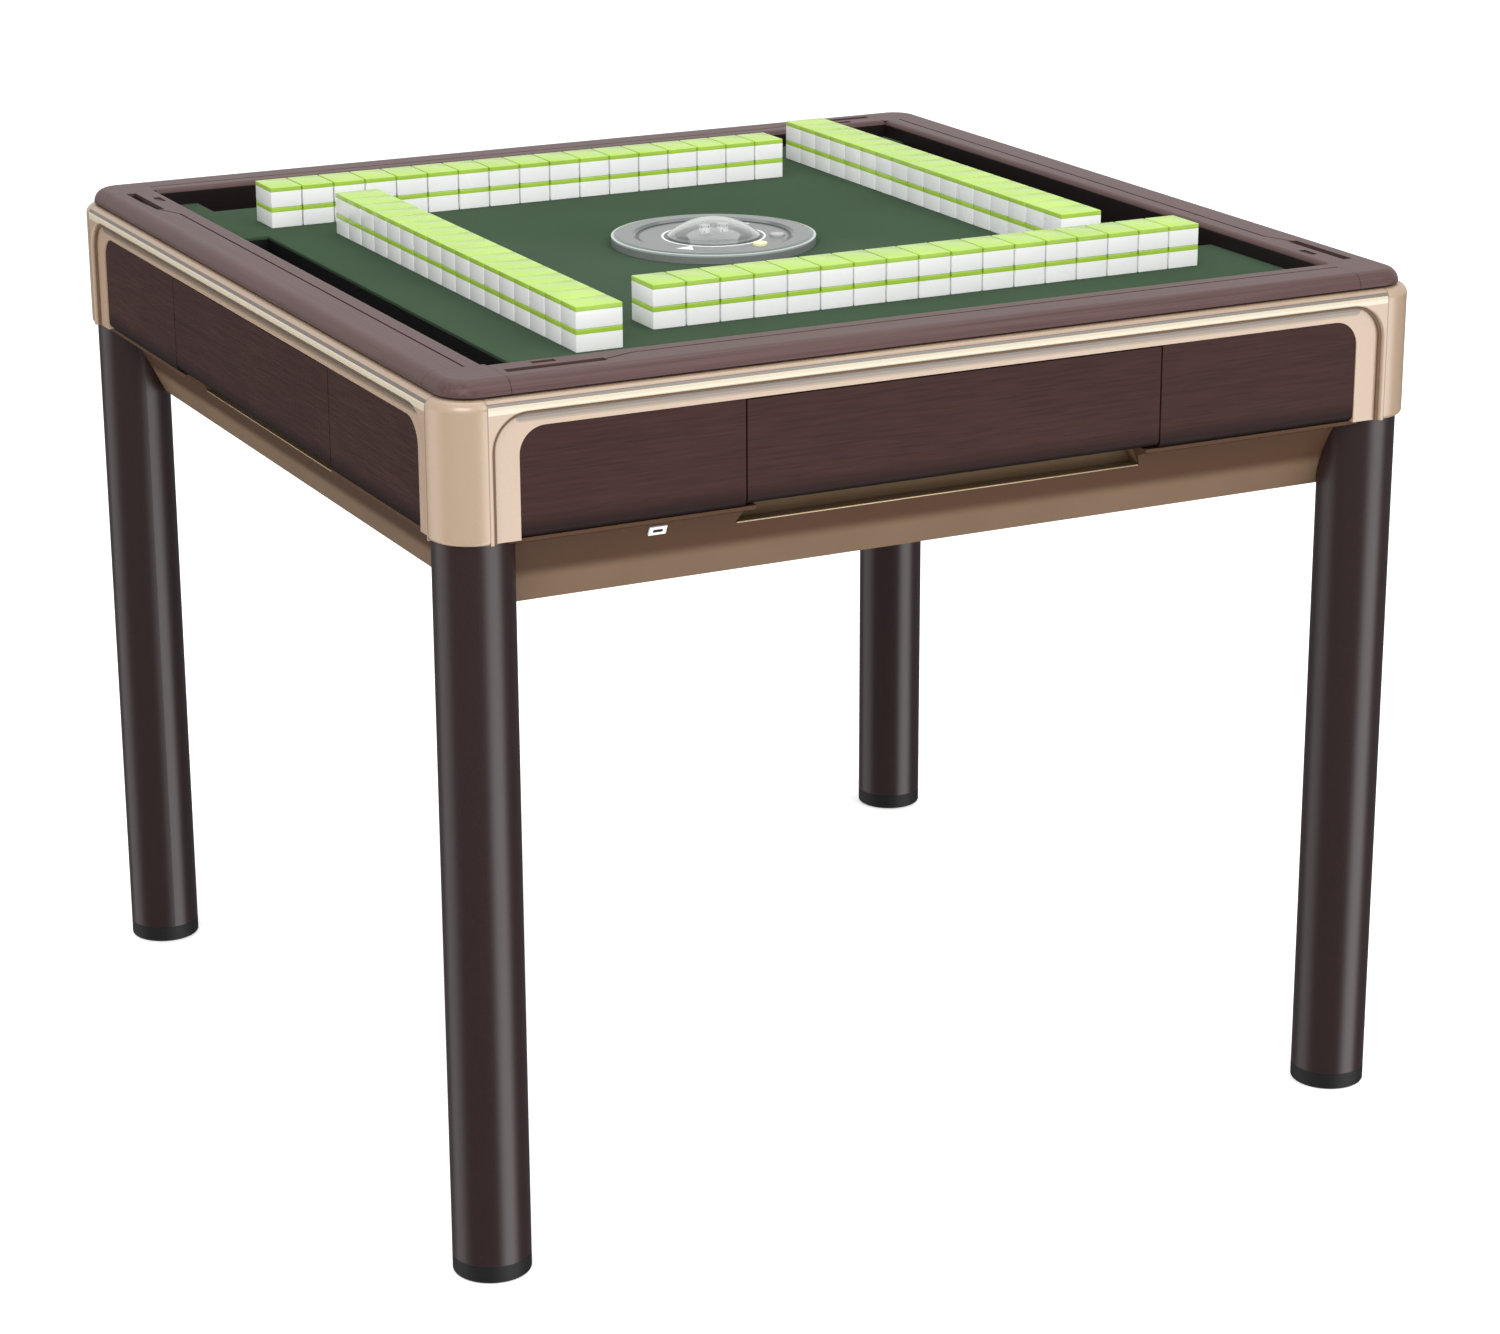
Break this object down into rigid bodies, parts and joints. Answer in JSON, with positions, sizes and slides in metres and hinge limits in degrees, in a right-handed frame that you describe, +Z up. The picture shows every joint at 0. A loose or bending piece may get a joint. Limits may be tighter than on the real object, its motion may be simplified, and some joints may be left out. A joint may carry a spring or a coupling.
{
  "type": "automatic mahjong table with drawers",
  "caption": "Square automatic mahjong table on round legs: felt field with lifting tile slots, dealt tile rows, centre console with dice dome, and a drawer in every side.",
  "frame": {"origin": "on the floor below the middle of the table", "axes": "+Z up, -Y towards the player at the front side, +X to that player's right"},
  "size_m": [0.9, 0.9, 0.7724],
  "materials": {
    "leg_paint": "dark brown metallic paint",
    "foot_rubber": "black rubber",
    "pan_bronze": "bronze satin paint",
    "trim_gold": "champagne gold satin paint",
    "panel_wood": "dark brown brushed grain",
    "tray_plastic": "black grained",
    "rim_brown": "brown satin",
    "deck_board": "plain board",
    "felt_green": "short felt",
    "bar_black": "black",
    "chassis_steel": "grey paint",
    "disc_plastic": "dark grey",
    "roller_rubber": "black",
    "console_grey": "grey satin",
    "dome_clear": "clear",
    "dice_white": "white gloss",
    "key_ivory": "ivory",
    "tile_resin": "white resin with green back"
  },
  "bodies": {
    "table": {"lower_pan": "pan_bronze", "chassis": "chassis_steel", "deck": "deck_board", "felt": "felt_green", "motor": "chassis_steel", "socket_plate": "dice_white", "leg_1": "leg_paint", "leg_2": "leg_paint", "leg_3": "leg_paint", "leg_4": "leg_paint", "foot_1": "foot_rubber", "foot_2": "foot_rubber", "foot_3": "foot_rubber", "foot_4": "foot_rubber", "trim_front": "trim_gold", "trim_right": "trim_gold", "trim_back": "trim_gold", "trim_left": "trim_gold", "corner_cover_1": "trim_gold", "corner_cover_2": "trim_gold", "corner_cover_3": "trim_gold", "corner_cover_4": "trim_gold", "panels_front": "panel_wood", "panels_right": "panel_wood", "panels_back": "panel_wood", "panels_left": "panel_wood", "rim_rail_front": "rim_brown", "rim_rail_right": "rim_brown", "rim_rail_back": "rim_brown", "rim_rail_left": "rim_brown", "rim_corner_1": "rim_brown", "rim_corner_2": "rim_brown", "rim_corner_3": "rim_brown", "rim_corner_4": "rim_brown"},
    "console": {"console_body": "console_grey", "console_ring": "console_grey", "dice_dome": "dome_clear"},
    "dice_turner": {"dice_disc": "disc_plastic", "dice": "dice_white"},
    "shuffler": {"turntable": "disc_plastic"},
    "roller": {"drive_roller": "roller_rubber"},
    "dice_key": {"key_1": "key_ivory"},
    "lift_key": {"key_2": "key_ivory"},
    "drawer_front": {"drawer_front_front": "panel_wood", "drawer_tray_front": "tray_plastic"},
    "lift_front": {"lift_bar_front": "bar_black"},
    "row_front": {"tiles_front": "tile_resin"},
    "drawer_right": {"drawer_front_right": "panel_wood", "drawer_tray_right": "tray_plastic"},
    "lift_right": {"lift_bar_right": "bar_black"},
    "row_right": {"tiles_right": "tile_resin"},
    "drawer_back": {"drawer_front_back": "panel_wood", "drawer_tray_back": "tray_plastic"},
    "lift_back": {"lift_bar_back": "bar_black"},
    "row_back": {"tiles_back": "tile_resin"},
    "drawer_left": {"drawer_front_left": "panel_wood", "drawer_tray_left": "tray_plastic"},
    "lift_left": {"lift_bar_left": "bar_black"},
    "row_left": {"tiles_left": "tile_resin"}
  },
  "joints": [
    {"name": "drawer_front_slide", "type": "slide", "parent": "table", "child": "drawer_front", "axis": [0, -1, 0], "range_m": [0, 0.12]},
    {"name": "lift_front_raise", "type": "slide", "parent": "table", "child": "lift_front", "axis": [0, 0, 1], "range_m": [0, 0.028]},
    {"name": "row_front_push", "type": "slide", "parent": "table", "child": "row_front", "axis": [0, -1, 0], "range_m": [0, 0.102]},
    {"name": "drawer_right_slide", "type": "slide", "parent": "table", "child": "drawer_right", "axis": [1, 0, 0], "range_m": [0, 0.12]},
    {"name": "lift_right_raise", "type": "slide", "parent": "table", "child": "lift_right", "axis": [0, 0, 1], "range_m": [0, 0.028]},
    {"name": "row_right_push", "type": "slide", "parent": "table", "child": "row_right", "axis": [1, 0, 0], "range_m": [0, 0.102]},
    {"name": "drawer_back_slide", "type": "slide", "parent": "table", "child": "drawer_back", "axis": [0, 1, 0], "range_m": [0, 0.12]},
    {"name": "lift_back_raise", "type": "slide", "parent": "table", "child": "lift_back", "axis": [0, 0, 1], "range_m": [0, 0.028]},
    {"name": "row_back_push", "type": "slide", "parent": "table", "child": "row_back", "axis": [0, 1, 0], "range_m": [0, 0.102]},
    {"name": "drawer_left_slide", "type": "slide", "parent": "table", "child": "drawer_left", "axis": [-1, 0, 0], "range_m": [0, 0.12]},
    {"name": "lift_left_raise", "type": "slide", "parent": "table", "child": "lift_left", "axis": [0, 0, 1], "range_m": [0, 0.028]},
    {"name": "row_left_push", "type": "slide", "parent": "table", "child": "row_left", "axis": [-1, 0, 0], "range_m": [0, 0.102]},
    {"name": "console_raise", "type": "slide", "parent": "table", "child": "console", "axis": [0, 0, 1], "range_m": [0, 0.042]},
    {"name": "dice_spin", "type": "hinge", "parent": "console", "child": "dice_turner", "pos_m": [0, 0, 0.742], "axis": [0, 0, 1], "continuous": true},
    {"name": "dice_key_press", "type": "slide", "parent": "console", "child": "dice_key", "axis": [0, 0, -1], "range_m": [0, 0.0015], "stiffness_N_per_m": 400},
    {"name": "lift_key_press", "type": "slide", "parent": "console", "child": "lift_key", "axis": [0, 0, -1], "range_m": [0, 0.0015], "stiffness_N_per_m": 400},
    {"name": "shuffler_spin", "type": "hinge", "parent": "table", "child": "shuffler", "pos_m": [0, 0, 0.65], "axis": [0, 0, 1], "continuous": true},
    {"name": "roller_spin", "type": "hinge", "parent": "table", "child": "roller", "pos_m": [0.19042, 0.19042, 0.65], "axis": [0, 0, 1], "continuous": true}
  ],
  "couplings": [
    {"joint": "roller_spin", "follows": "shuffler_spin", "ratio": -10.208}
  ]
}
